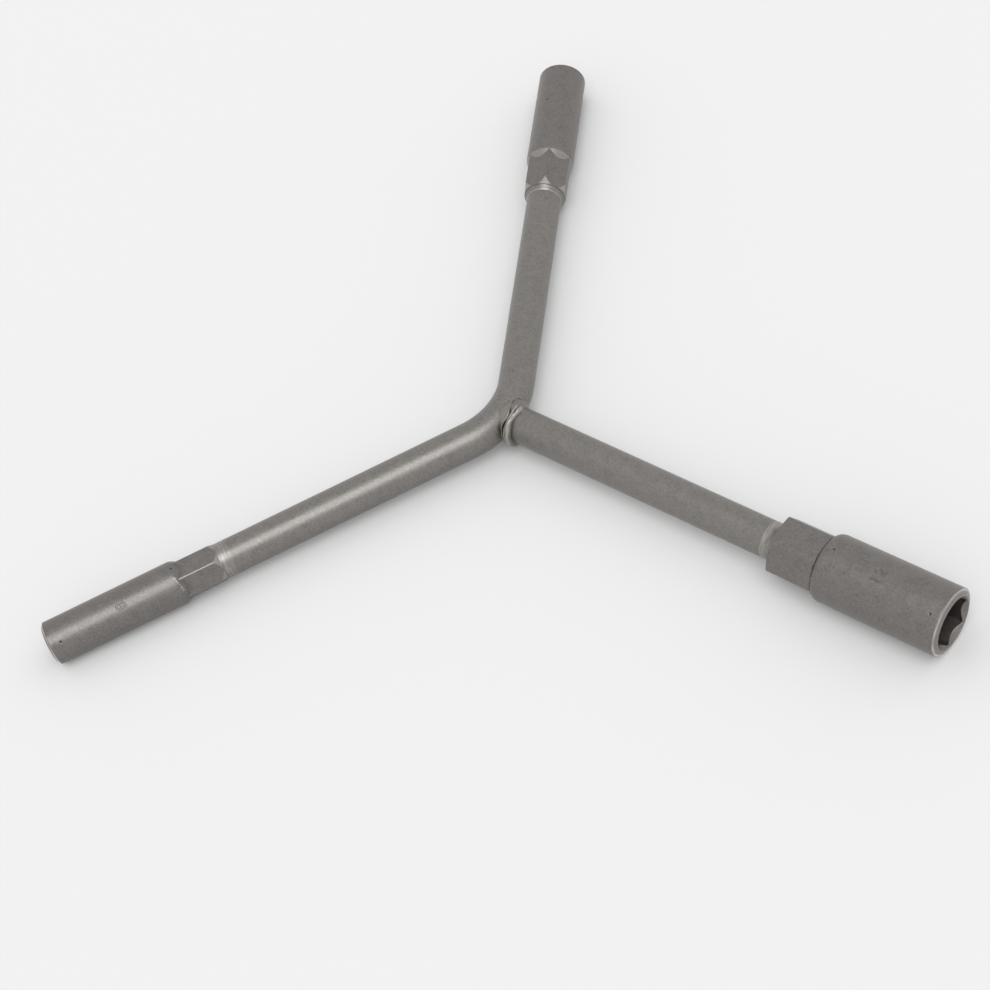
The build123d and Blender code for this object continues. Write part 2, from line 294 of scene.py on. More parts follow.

# The shade numbers paint shade into the groove at the weld and into the corner under the shoulder.
# The small socket's crest line is rubbed metal and also a painted glint.
# The back of a neck is a list of (reach, radius) points, from the weld to the full blank.
large.update(
    size=12 * mm, seam=large_rod_reach, flats=14.7 * mm, corners=16.8 * mm,
    back=((86.4 * mm, 4.65 * mm), (86.75 * mm, 4.65 * mm), (87.75 * mm, 8.4 * mm)),
    corner_turn=radians(0), bore_turn=radians(8), flats_start=70 * mm,
    shoulder_length=2.3 * mm, round_shoulder=True, countersink=14.2 * mm, rim=14.8 * mm,
    edge_round=0.5 * mm, corner_polish=0, back_polish=0, cone_polish=0, groove_tarnish=0.9,
    corner_tarnish=0.75, worn_crest=(0, 0),
)
medium.update(
    size=10 * mm, seam=medium_rod_reach, flats=11.8 * mm, corners=13.55 * mm,
    back=((82.4 * mm, 5.8 * mm), (82.6 * mm, 6 * mm), (85 * mm, 6.775 * mm)),
    corner_turn=radians(42), bore_turn=radians(42), flats_start=82.6 * mm,
    shoulder_length=2.8 * mm, round_shoulder=False, countersink=11.8 * mm, rim=12.3 * mm,
    edge_round=0.2 * mm, corner_polish=0.12, back_polish=0.4, cone_polish=0.25,
    groove_tarnish=0, corner_tarnish=0, worn_crest=(0, 0),
)
small.update(
    size=8 * mm, seam=small_rod_reach, flats=10.1 * mm, corners=11.45 * mm,
    back=((86.7 * mm, 5 * mm), (88.3 * mm, 5.725 * mm)),
    corner_turn=radians(55), bore_turn=radians(55), flats_start=70 * mm,
    shoulder_length=2.2 * mm, round_shoulder=False, countersink=9.6 * mm, rim=10.1 * mm,
    edge_round=0.12 * mm, corner_polish=0.18, back_polish=0.3, cone_polish=0,
    groove_tarnish=0, corner_tarnish=0.2, worn_crest=(radians(22), radians(66)),
)
for arm in (large, medium, small):
    print(arm["name"], "socket for", round(arm["size"] / mm), "mm, with a neck of",
          round(arm["flats"] / mm, 2), "mm over the flats")


def shoulder_radius(arm, reach):
    """The radius of the barrel's shoulder, which rises out of the neck."""
    full, run = arm["barrel_radius"], arm["shoulder_length"]
    left = arm["barrel_start"] - reach
    if not arm["round_shoulder"]:
        cone = full - left * (full - arm["flats"] / 2) / run
        return smooth_least(full, cone, 0.3 * mm)
    if left >= run:
        return 0
    return full - run + sqrt(run**2 - max(left, 0) ** 2)


def neck_radius(arm, reach, angle, blank):
    """The blank's radius after its flats are milled, each with a round end."""
    off = off_flat(angle, arm["corner_turn"])
    cutter = cutter_share * arm["flats"]
    side = min(abs(blank * sin(off)), cutter)
    flat_end = arm["flats_start"] + cutter - sqrt(cutter**2 - side**2)
    run_out = max(0, flat_end - reach)
    flat = (arm["flats"] / 2 + run_out) / cos(off)
    return smooth_least(blank, flat, arm["edge_round"])


# %% [markdown]
# ### What else a maker leaves on the barrel
#
# The photograph's barrels have small pits in the plating, and a stamped mark. The number is
# pressed into the metal by a punch, so it is cut as geometry: the faces under it are
# divided again, and each new vertex is lowered where it lies near one of the number's
# strokes. The distance to a stroke is all that is needed, so a digit is a few arcs and
# lines, and not a font.

# %% The stamped numbers
mark_height = 3 * mm
mark_depth = 0.2 * mm
mark_stroke = 0.14 * mark_height
digit_width = 0.62 * mark_height
digit_pitch = 0.82 * mark_height
large.update(mark="12", mark_setback=18.9 * mm, mark_turn=radians(99))
small.update(mark="8", mark_setback=22.1 * mm, mark_turn=radians(58))
print("stamped numbers:", large["mark"], "and", small["mark"])


def to_segment(u, v, ends):
    """Distance from a point to a straight stroke."""
    (u0, v0), (u1, v1) = ends
    run, rise = u1 - u0, v1 - v0
    along = ((u - u0) * run + (v - v0) * rise) / (run**2 + rise**2)
    along = min(max(along, 0), 1)
    return hypot(u - u0 - along * run, v - v0 - along * rise)


def to_digit(digit, u, v):
    """Distance from a point to the middle of a digit's nearest stroke."""
    top = (mark_height - mark_stroke) / 2
    bend = (digit_width - mark_stroke) / 2
    if digit == "1":
        return to_segment(u, v, ((0, -top), (0, top)))
    if digit == "2":
        knee = top - bend
        over = abs(hypot(u, v - knee) - bend) if v > knee else mark_height
        slope = to_segment(u, v, ((bend, knee), (-bend, -top)))
        return min(over, slope, to_segment(u, v, ((-bend, -top), (bend, -top))))
    ring = top / 2
    return min(abs(hypot(u, v - ring) - ring), abs(hypot(u, v + ring) - ring))


def mark_place(arm, vert):
    """Where a vertex lies on the mark: across it, reading round the barrel, and up it."""
    turned = (atan2(vert.co.z, vert.co.y) - arm["mark_turn"] + pi) % (2 * pi) - pi
    return -turned * arm["barrel_radius"], arm["mouth"] - arm["mark_setback"] - vert.co.x


def stamp_depth(arm, vert):
    """How deep the punch has gone at a vertex."""
    u, v = mark_place(arm, vert)
    first = -digit_pitch * (len(arm["mark"]) - 1) / 2
    near = min(
        to_digit(digit, u - first - place * digit_pitch, v)
        for place, digit in enumerate(arm["mark"])
    )
    wall = 0.12 * mm
    into = min(max((mark_stroke / 2 + wall / 2 - near) / wall, 0), 1)
    return mark_depth * into * into * (3 - 2 * into)


def stamp_number(bm, arm):
    """Divide the barrel's faces under the mark, then press the number in."""
    half = (mark_height, mark_height * 0.7)

    def under(vert):
        u, v = mark_place(arm, vert)
        outside = hypot(vert.co.y, vert.co.z) > arm["barrel_radius"] - 0.01 * mm
        return outside and abs(u) < half[0] and abs(v) < half[1]

    patch = {edge for edge in bm.edges if under(edge.verts[0]) and under(edge.verts[1])}
    bmesh.ops.subdivide_edges(bm, edges=list(patch), cuts=3, use_grid_fill=True)
    for vert in bm.verts:
        if under(vert):
            set_radius(vert, arm["barrel_radius"] - stamp_depth(arm, vert))


# %% [markdown]
# ### The whole socket
#
# The outside and the bore are one outline, so the socket is closed from the start: out
# along the barrel, over the rim, down the countersink and into the hole. The bore's faces
# get their own material, because plating hardly reaches down a deep hole: it stays dark. A
# float attribute says how rubbed the metal is, from 0 on the blasted skin to 1 on a corner
# that has been worn bright, and it also holds a painted glint on one shoulder. A second one
# holds painted shade. The material reads both.

# %% Pits in the plating
pit_radius = 0.4 * mm
pit_depth = 0.18 * mm
large["pits"] = ((103.5 * mm, radians(88)), (132.7 * mm, radians(119)))
medium["pits"] = ((116.6 * mm, radians(76)),)
small["pits"] = ((99.2 * mm, radians(93)), (133.5 * mm, radians(43)))


def pit(arm, reach, angle):
    """How deep a pit is at a place on the barrel, from 0 to 1."""
    deepest = 0
    for pit_reach, pit_turn in arm["pits"]:
        around = ((angle - pit_turn + pi) % (2 * pi) - pi) * arm["barrel_radius"]
        near = hypot(reach - pit_reach, around) / pit_radius
        deepest = max(deepest, 1 - min(near, 1) ** 2)
    return deepest


# %% Draw a socket's outline
def barrel_zones(arm):
    """Where the barrel needs fine rings: the shoulder, the pits, the mark and the rim."""
    zones = [(arm["barrel_start"] + 0.05 * mm, arm["barrel_start"] + 0.6 * mm)]
    zones += [(reach - 1.5 * pit_radius, reach + 1.5 * pit_radius) for reach, _ in arm["pits"]]
    if "mark" in arm:
        middle = arm["mouth"] - arm["mark_setback"]
        zones.append((middle - 0.7 * mark_height, middle + 0.7 * mark_height))
    zones.append((arm["barrel_end"] - 0.3 * mm, arm["barrel_end"]))
    return sorted(zones)


def socket_outline(arm):
    """From the middle of the weld, out over the rim, and down the bore to the drill's point."""
    corners, barrel = arm["corners"] / 2, arm["barrel_radius"]
    sink, rim = arm["countersink"] / 2, arm["rim"] / 2
    run_out_end = max(arm["flats_start"] + 2 * mm, arm["back"][-1][0] + 0.3 * mm)
    shoulder_start = arm["barrel_start"] - arm["shoulder_length"] - 0.3 * mm
    outline = [(arm["seam"], 0, 1), (arm["seam"], arm["back"][0][1] * 0.9, 1)]
    outline += [(reach, radius, fine) for reach, radius in arm["back"]]
    outline += [
        (run_out_end, corners, fine),
        (shoulder_start, corners, coarse),
        (arm["barrel_start"], corners, fine),
    ]
    for start, end in barrel_zones(arm):
        if start > outline[-1][0]:
            outline.append((start, barrel, coarse))
        if end > outline[-1][0]:
            outline.append((end, barrel, fine))
    outline += [
        (arm["barrel_end"] + edge_break, barrel - edge_break, 0.08 * mm),
        (arm["mouth"] - 0.03 * mm, rim + 0.06 * mm, fine),
        (arm["mouth"], rim, fine),
        (arm["mouth"], sink, fine),
    ]
    hexagon = (arm["size"] + bore_play) / 2
    outline += [
        (arm["mouth"] - (sink - hexagon) / countersink_slope - 0.3 * mm, hexagon, 0.08 * mm),
        (arm["hex_floor"], hexagon, coarse),
        (arm["hex_floor"], arm["relief_radius"], coarse),
        (arm["relief_floor"], arm["relief_radius"], coarse),
        (arm["relief_floor"] - arm["relief_radius"] * 0.6, 0, coarse),
    ]
    return outline


# %% [markdown]
# ### Milling the flats, wearing the edges and painting shade
#
# Handling rubs the plating off wherever an edge stands proud. Painted shade darkens the
# corners, the groove at the weld and the pits, and a painted glint lies on one shoulder. All
# of it follows from the shape, so it is noted at each vertex in the same pass that moves it.
# An edge found in the shader by its curvature would need far finer faces, and would be lost
# when the model is exported.

# %% Mill, wear and shade the outside
shoulder_blend = 0.12 * mm
light_wear = 0.12  # polish of a turned face that isn't rubbed any further
crest_slope = 1.1 * mm  # how far the small shoulder's rubbed line, a painted glint as well, runs back for each radian
crest_patch = 0.7 * mm  # size of the gaps in that line


def wear_neck(arm, vert, neck, shoulder, blank, polish_and_glint):
    """Note what is rubbed bright on a neck: the cone, the flats' ends, and the corners."""
    if shoulder > neck + 0.1 * mm:
        vert[polish_and_glint] = arm["cone_polish"] * (vert.co.x < arm["barrel_start"] - 0.2 * mm)
    elif vert.co.x < arm["flats_start"]:
        vert[polish_and_glint] = light_wear
    elif neck > blank - 0.03 * mm:
        behind = vert.co.x < arm["back"][-1][0] + 0.2 * mm
        vert[polish_and_glint] = arm["back_polish"] if behind else arm["corner_polish"]


def rub_crest_and_paint_glint(arm, vert, angle, polish_and_glint):
    """Rub a broken bright line along a shoulder, where a hand or a shelf meets it. It is drawn
    only over the stretch that catches the light, so it is a painted glint as well as rubbed metal.
    """
    crest_from, crest_to = arm["worn_crest"]
    if crest_from < angle < crest_to:
        crest = arm["barrel_start"] - (crest_to - angle) * crest_slope
        on_crest = ease(0.3 * mm, 0.1 * mm, abs(vert.co.x - crest))
        rubbed = 0.7 + 1.8 * noise.noise(vert.co / crest_patch)
        vert[polish_and_glint] = max(vert[polish_and_glint], on_crest * min(max(rubbed, 0), 1))


def shape_neck(arm, vert, polish_and_glint, tarnish):
    """Mill the flats, raise the shoulder and sink the pits."""
    reach, angle = vert.co.x, atan2(vert.co.z, vert.co.y)
    blank = min(hypot(vert.co.y, vert.co.z), arm["corners"] / 2)
    neck, shoulder = neck_radius(arm, reach, angle, blank), shoulder_radius(arm, reach)
    dent = pit(arm, reach, angle)
    set_radius(vert, smooth_most(neck, shoulder, shoulder_blend) - pit_depth * dent)
    # painted shade in the corner where the neck meets the shoulder, and in the pits
    in_corner = ease(0.4 * mm, 0.1 * mm, abs(neck - shoulder))
    vert[tarnish] = max(dent, arm["corner_tarnish"] * in_corner)
    wear_neck(arm, vert, neck, shoulder, blank, polish_and_glint)
    rub_crest_and_paint_glint(arm, vert, angle, polish_and_glint)


def shape_outside(arm, vert, polish_and_glint, tarnish):
    """Shape the groove at the weld, the neck, the barrel and the coned end."""
    reach, angle = vert.co.x, atan2(vert.co.z, vert.co.y)
    if reach < arm["back"][-2][0] + 0.01 * mm:
        # painted shade in the groove behind the neck
        vert[tarnish] = arm["groove_tarnish"]
    elif reach < arm["barrel_start"] + 0.5 * mm:
        shape_neck(arm, vert, polish_and_glint, tarnish)
    elif reach < arm["barrel_end"] - 0.01 * mm:
        dent = pit(arm, reach, angle)
        set_radius(vert, hypot(vert.co.y, vert.co.z) - pit_depth * dent)
        # painted shade in the pits
        vert[tarnish] = dent
    elif reach > arm["barrel_end"] + 0.5 * edge_break:
        rubbed = 0.75 + 0.8 * noise.noise(vert.co / (3 * mm))
        on_edge = ease(0.3 * mm, 0.08 * mm, abs(reach - arm["barrel_end"] - edge_break))
        vert[polish_and_glint] = max(light_wear, on_edge * min(max(rubbed, 0.3), 1))


# %% Broach the bore
corner_limit = 1.13  # the hexagon's corners, as a share of its half width, where they are blunt
corner_blend = 0.35 * mm


def in_bore(arm, place):
    """Whether a place is on the countersink, the hexagon or the drilled hole."""
    deep = arm["relief_floor"] - arm["relief_radius"] * 0.6 - 0.01 * mm < place.x
    return deep and hypot(place.y, place.z) < arm["countersink"] / 2 - 0.01 * mm


def shape_bore(arm, vert):
    """Broach the hexagon: its corners reach out past the round that was spun."""
    hexagon = (arm["size"] + bore_play) / 2
    now = hypot(vert.co.y, vert.co.z)
    if now > hexagon - 0.01 * mm and vert.co.x > arm["hex_floor"] - 0.01 * mm:
        off = off_flat(atan2(vert.co.z, vert.co.y), arm["bore_turn"])
        side = smooth_least(hexagon / cos(off), hexagon * corner_limit, corner_blend)
        sink = arm["countersink"] / 2 - (arm["mouth"] - vert.co.x) * countersink_slope
        set_radius(vert, smooth_most(side, sink, 0.1 * mm))


# %% Make the three sockets
def make_socket(arm):
    """A socket's outside and bore as one closed mesh."""
    bm = spin_outline(socket_outline(arm))
    polish_and_glint, tarnish = add_wear_and_shade(bm)
    for vert in bm.verts:
        if in_bore(arm, vert.co):
            shape_bore(arm, vert)
        else:
            shape_outside(arm, vert, polish_and_glint, tarnish)
    if "mark" in arm:
        stamp_number(bm, arm)
    sink_depth = (arm["countersink"] - arm["size"] - bore_play) / 2 / countersink_slope
    for face in bm.faces:
        middle = face.calc_center_median()
        deep = in_bore(arm, middle) and middle.x < arm["mouth"] - sink_depth
        face.material_index = 1 if deep else 0
    return finish_mesh(bm, arm["name"] + "_turned_socket", arm["turn"])


large_turned = make_socket(large)
medium_turned = make_socket(medium)
small_turned = make_socket(small)
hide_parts("large_socket")
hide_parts("medium_socket")
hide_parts("small_socket")

# %% [markdown]
# ## The welds at the sockets
#
# The joint between bar and socket is welded and then turned down on a lathe. That leaves a
# narrow ring of brighter metal with the tool's fine marks round it, level with the bar on
# the large and the small arm, and a cone behind the medium socket's collar. Each ring is
# spun from an outline that has the tool marks in it, and its polish comes and goes.
# Painted shade darkens each ring's end, most on the large ring, beside the groove at its neck.

# %% Turn the weld rings
tool_mark = 0.03 * mm
tool_pitch = 0.35 * mm
proud = 0.03 * mm


def make_weld_ring(arm, start, end, end_radius, fade_length, shine, edge, shade_length):
    """A ring of turned weld metal, with shallow tool marks, and painted shade at its end next to
    the socket.
    """
    marks = 2 * round((end - start) / tool_pitch) + 1
    start_radius = rod_radius + proud
    outline = [(start, rod_radius * 0.8, 1), (start, start_radius, 1)]
    for place in range(1, marks):
        share = place / marks
        dip = tool_mark if place % 2 else 0
        radius = start_radius + (end_radius - start_radius) * share - dip
        outline.append((start + (end - start) * share, radius, 1))
    outline += [(end, end_radius, 1), (end, rod_radius * 0.8, 1)]
    bm = spin_outline(outline)
    polish_and_glint, tarnish = add_wear_and_shade(bm)
    for vert in bm.verts:
        fleck = noise.noise(Vector((vert.co.x * 6, vert.co.y, vert.co.z)) / (3 * mm))
        fade = min(1, (vert.co.x - start) / fade_length)
        on_edge = edge * ease(0.3 * mm, 0.1 * mm, abs(vert.co.x - start))
        vert[polish_and_glint] = max(on_edge, fade * min(max(shine * (1 + 1.4 * fleck), 0), 1))
        # painted shade, in patches, over the ring's last stretch beside the neck
        patchy = 0.7 + noise.noise(vert.co / (4 * mm))
        near_end = ease(end - shade_length, end - shade_length / 2, vert.co.x)
        vert[tarnish] = near_end * min(max(patchy, 0.1), 1)
    bmesh.ops.holes_fill(bm, edges=bm.edges)
    return finish_mesh(bm, arm["name"] + "_turned_weld", arm["turn"])


large_ring = make_weld_ring(
    large, large["seam"] - 1.6 * mm, large["seam"] + 1 * mm, rod_radius + proud,
    fade_length=0.2 * mm, shine=0.22, edge=0.4, shade_length=1.4 * mm,
)
small_ring = make_weld_ring(
    small, small["seam"] - 3 * mm, small["seam"] + 1.2 * mm, rod_radius + proud,
    fade_length=3 * mm, shine=0.18, edge=0, shade_length=0.01 * mm,
)
medium_ring = make_weld_ring(
    medium, medium["seam"] - 1.5 * mm, medium["seam"], 5.8 * mm,
    fade_length=0.2 * mm, shine=0.02, edge=0.6, shade_length=0.01 * mm,
)
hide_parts("large_weld")
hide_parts("small_weld")
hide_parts("medium_weld")

# %% [markdown]
# ## The weld in the middle
#
# The straight bar was pressed hot against the bend, which squeezed metal out into a curled
# lip round its foot. Behind the lip is a seam, darkened with painted shade, and on the bent
# bar's side lies a thin flash and a web that fades into the bar. The bar went in a little
# askew: the lip stands proudest on the small arm's side and sinks away on the other, where
# the web is thicker.
# Noise then swells and pinches it all, as run metal is never even.

# %% Sizes of the weld round the foot
seam_reach = 1.4 * mm
seam_height = -0.35 * mm
seam_filling = 0.5 * mm  # how much shallower the seam is on the medium arm's side
lip_width = 1.4 * mm
lip_height = 1.0 * mm
lip_groove_height = 0.45 * mm
lip_end = seam_reach + lip_width  # where the lip's inner ridge meets its outer one
outer_lip_width = 1.5 * mm
outer_lip_height = 0.85 * mm
lip_shift = 0.7 * mm  # how far the whole lip stands over to the small arm's side
groove_filling = 0.42 * mm  # where the two ridges run together
ridge_drop = 0.5 * mm  # how much lower the inner ridge lies by the small arm
flash_width = 0.7 * mm
flash_height = 0.5 * mm
flash_start = seam_reach - flash_width
web_length = 3 * mm
web_height = 0.25 * mm
web_start = flash_start - web_length
corner_fill = 1.5 * mm  # metal between the two bars on the medium arm's side
print("the lip is", round((lip_width + outer_lip_width) / mm, 1), "mm wide")


# %% Draw the weld's outline
def hump(start, end, low, high, close):
    """Points over a rounded ridge, from one foot to the other."""
    steps = 12
    points = []
    for step in range(1, steps + 1):
        share = step / steps
        foot = low + (close - low) * share
        rise = (high - (low + close) / 2) * sin(pi * share) ** 0.8
        points.append((start + (end - start) * share, rod_radius + foot + rise, 0.2 * mm))
    return points


def foot_outline():
    """Over the web, the flash, the seam and the two ridges of the lip."""
    outer_end = lip_end + outer_lip_width
    outline = [
        (web_start, rod_radius * 0.7, 1),
        (web_start, rod_radius - 0.08 * mm, 1),
        (web_start + web_length / 2, rod_radius + 0.02 * mm, 0.2 * mm),
        (flash_start, rod_radius + web_height, 0.2 * mm),
    ]
    outline += hump(flash_start, seam_reach, web_height, flash_height, seam_height)
    outline += hump(seam_reach, lip_end, seam_height, lip_height, lip_groove_height)
    outline += hump(lip_end, outer_end, lip_groove_height, outer_lip_height, -0.15 * mm)
    outline += [(outer_end, rod_radius * 0.7, 1)]
    return outline


# %% [markdown]
# ### Letting the metal run
#
# A spun outline is the same all the way round, and run metal isn't. Sculpting by hand gives
# that, but not twice the same way. Here each rule changes one thing by how far round the
# foot a vertex lies, which is called askew: 1 on the small arm's side and -1 on the medium
# one's. The noise is added last, and it is fixed by the place, so every run gives the same
# weld.

# %% Rules for the run metal
def beyond_seam(vert):
    """0 on the bent bar's side of the seam, and 1 on the lip."""
    return ease(seam_reach - 0.1 * mm, seam_reach + 0.5 * mm, vert.co.x)


def foot_radius(vert, askew, height):
    """Swell the lip, merge and lower its ridges, and thicken the web and the flash."""
    off_groove = abs(vert.co.x - lip_end) / (0.7 * mm)
    merge = ease(0, 0.25, askew) * ease(0.9, 0.75, askew) * ease(1, 0, off_groove)
    swell = 1 + 0.55 * noise.noise(vert.co / (3 * mm))
    ripple = 0.12 * mm * noise.noise(vert.co / (1.1 * mm))
    inner = ease(lip_end + 0.2 * mm, seam_reach + 0.4 * mm, vert.co.x)
    low = ridge_drop * inner * ease(0.45, 0.8, askew) * ease(0, 0.3 * mm, height)
    sunk = ease(-0.95, -0.45, askew)
    lip = (height + groove_filling * merge - low) * swell * sunk + lip_shift * askew
    on_flash = ease(flash_start - 0.1 * mm, flash_start + 0.2 * mm, vert.co.x)
    thicker = 3 * ease(0.3, -0.8, askew) + 0.9 * on_flash * ease(0.4, 0.8, askew)
    web = height * swell * (1 + thicker)
    return rod_radius + web + (lip - web) * beyond_seam(vert) + ripple


def seam_shade(vert, askew, height):
    """Painted shade in the seam: a narrow dark line, which fades out towards the medium arm."""
    width = (0.3 + 0.25 * ease(0.4, 0.6, askew) * ease(0.95, 0.8, askew)) * mm
    in_seam = ease(2 * width, 0, abs(vert.co.x - seam_reach))
    deep = ease(0.05 * mm, -0.3 * mm, height) * in_seam
    return deep * ease(-0.1, 0.45, askew)


def foot_lean(vert, askew, height):
    """How far the metal moves along the bar: the lip isn't square to it, and it wanders."""
    follows = ease(seam_height, seam_height + 0.08 * mm, height)
    inner_lean = (0.35 + 0.35 * ease(0.95, 0.5, askew) - 2 * ease(0.3, -0.8, askew)) * mm
    outer_lean = -1.3 * mm * ease(-0.3, -0.8, askew)
    share = min(max((vert.co.x - seam_reach) / (lip_width + outer_lip_width), 0), 1)
    behind = max(seam_reach - vert.co.x, 0)
    fade = ease(web_length, 0, behind)
    lean = (inner_lean + (outer_lean - inner_lean) * share) * fade * follows
    wander = 0.3 * mm * beyond_seam(vert) * noise.noise(vert.co / (2.5 * mm))
    return wander + lean - 1.3 * behind * ease(0.6, -0.6, askew) * fade


def corner_radius(vert, askew):
    """The metal that fills the corner between the two bars, on the medium arm's side."""
    fill = ease(3.4 * mm, 0.7 * mm, vert.co.x) * ease(-2.3 * mm, -0.6 * mm, vert.co.x)
    return rod_radius + corner_fill * fill * ease(-0.35, -0.9, askew) if fill else 0


# %% Shape the weld round the foot
def make_foot_weld():
    """Spin the outline, and then move each vertex by the rules."""
    bm = spin_outline(foot_outline())
    polish_and_glint, tarnish = add_wear_and_shade(bm)
    for vert in bm.verts:
        now = hypot(vert.co.y, vert.co.z)
        height = now - rod_radius
        if height < 2 * seam_height:
            continue
        askew = -vert.co.y / now
        in_seam = ease(0.7 * mm, 0.3 * mm, abs(vert.co.x - seam_reach))
        closed = seam_filling * ease(0.35, -0.2, askew) * in_seam
        height = max(height, seam_height + closed)
        set_radius(vert, foot_radius(vert, askew, height))
        vert[polish_and_glint] = 0.35 * beyond_seam(vert) * ease(0.2 * mm, 0.7 * mm, height)
        vert[tarnish] = seam_shade(vert, askew, height)
        vert.co.x += foot_lean(vert, askew, height)
        filled = corner_radius(vert, askew)
        if filled > hypot(vert.co.y, vert.co.z):
            set_radius(vert, filled)
            # a little painted shade in the filled corner between the bars, and no rub
            vert[polish_and_glint], vert[tarnish] = 0, 0.15
    bmesh.ops.holes_fill(bm, edges=bm.edges)
    return finish_mesh(bm, "foot_weld")


foot_weld = make_foot_weld()
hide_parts("junction_weld")

# %% [markdown]
# ## The finishes
#
# Each material is named for what the metal is and how its surface was made. Two things make
# satin steel look real: the light it gathers must be soft, which is roughness, and it must
# not be even, which is a little noise in colour, roughness and height. All patterns read
# Object coordinates, and their scale comes from a size in millimetres.

# %% Helpers for materials
def linear(hex_colour):
    """An sRGB hex colour as linear red, green, blue and alpha."""
    parts = [int(hex_colour[place : place + 2], 16) / 255 for place in (1, 3, 5)]
    return [c / 12.92 if c <= 0.04045 else ((c + 0.055) / 1.055) ** 2.4 for c in parts] + [1]


def new_material(name):
    """A material with its node tree and its shader."""
    material = bpy.data.materials.new(name)
    material.use_nodes = True
    return material, material.node_tree, material.node_tree.nodes["Principled BSDF"]


def add_node(tree, kind, links=None, values=None, **settings):
    """A node with its settings, its sockets' values and what is linked into it."""
    node = tree.nodes.new(kind)
    for key, value in settings.items():
        setattr(node, key, value)
    for socket, value in (values or {}).items():
        node.inputs[socket].default_value = value
    for socket, source in (links or {}).items():
        tree.links.new(source, node.inputs[socket])
    return node


# %% Rubbed metal and painted shade
rubbed_metal = "#c9c5c0"  # plating rubbed through to bright steel
painted_shade_tone = "#2f2b29"  # brown-black, painted as shade in grooves, corners, seams and pits


def add_wear_and_shade_colour(tree, skin):
    """Rubbed metal, a painted glint and painted shade over a skin's colour, by the two numbers at
    each vertex.
    """
    polish_and_glint = add_node(tree, "ShaderNodeAttribute", attribute_name="polish_and_glint").outputs["Fac"]
    tarnish = add_node(tree, "ShaderNodeAttribute", attribute_name="tarnish").outputs["Fac"]
    worn = add_node(
        tree, "ShaderNodeMixRGB", {"Fac": polish_and_glint, "Color1": skin}, {"Color2": linear(rubbed_metal)}
    ).outputs["Color"]
    worn_and_shaded = add_node(
        tree, "ShaderNodeMixRGB", {"Fac": tarnish, "Color1": worn}, {"Color2": linear(painted_shade_tone)}
    ).outputs["Color"]
    return worn_and_shaded, polish_and_glint


# %% [markdown]
# ### Satin plated steel
#
# Chrome-vanadium steel, blasted with grit and then plated. The grit's dents scatter the
# light, so the eye sees a soft grey with a fine grain, and a wide gleam where a lamp stands.
# A photograph wrapped round the bars could give the grain, but it would stretch and show a
# join, so the grain is noise in space. The bars are a shade lighter than the sockets.

# %% Satin plated steel
mottle_width = 2.5 * mm  # patches where the plating is thicker or thinner
grit_width = 0.6 * mm  # blasting grit is under 0.1 mm, and is drawn coarser so that it shows
grit_depth = 0.04 * mm


def satin_steel(name, dark, light, rough):
    """Blasted and plated steel: soft grey and grainy, with bright rubbed corners."""
    material, tree, shader = new_material(name)
    place = add_node(tree, "ShaderNodeTexCoord").outputs["Object"]
    mottle = add_node(
        tree, "ShaderNodeTexNoise", {"Vector": place},
        {"Scale": 1 / mottle_width, "Detail": 3, "Roughness": 0.6},
    ).outputs["Fac"]
    grit = add_node(
        tree, "ShaderNodeTexNoise", {"Vector": place},
        {"Scale": 1 / grit_width, "Detail": 4, "Roughness": 0.7},
    ).outputs["Fac"]
    grain = add_node(
        tree, "ShaderNodeMapRange", {"Value": grit, "To Min": mottle},
        {"From Min": 0.3, "From Max": 0.7, "To Max": 1},
    ).outputs["Result"]
    skin = add_node(
        tree, "ShaderNodeMixRGB", {"Fac": grain}, {"Color1": linear(dark), "Color2": linear(light)}
    ).outputs["Color"]
    worn_and_shaded, polish_and_glint = add_wear_and_shade_colour(tree, skin)
    tree.links.new(worn_and_shaded, shader.inputs["Base Color"])
    spread = add_node(
        tree, "ShaderNodeMapRange", {"Value": mottle},
        {"From Min": 0.3, "From Max": 0.7, "To Min": rough - 0.05, "To Max": rough + 0.05},
    ).outputs["Result"]
    shine = add_node(
        tree, "ShaderNodeMapRange", {"Value": polish_and_glint, "To Min": spread},
        {"From Min": 0, "From Max": 1, "To Max": 0.22},
    ).outputs["Result"]
    tree.links.new(shine, shader.inputs["Roughness"])
    bump = add_node(
        tree, "ShaderNodeBump", {"Height": grit}, {"Strength": 0.75, "Distance": grit_depth}
    ).outputs["Normal"]
    tree.links.new(bump, shader.inputs["Normal"])
    shader.inputs["Metallic"].default_value = 1
    print("made", name)
    return material


bar_skin = satin_steel("satin_plated_bar_steel", "#5c5956", "#8d8a86", 0.38)
socket_skin = satin_steel("satin_plated_socket_steel", "#565350", "#85817e", 0.38)


# %% [markdown]
# ### Run weld metal
#
# Metal that was squeezed out hot and never touched again: it is lumpy, and its skin is
# smoother and a little brighter than the blasted steel round it. The lumps too small for
# the mesh are a bump, with the noise distorted so that they look drawn out, as they ran.

# %% Run weld metal
lump_width = 0.7 * mm
lump_depth = 0.08 * mm


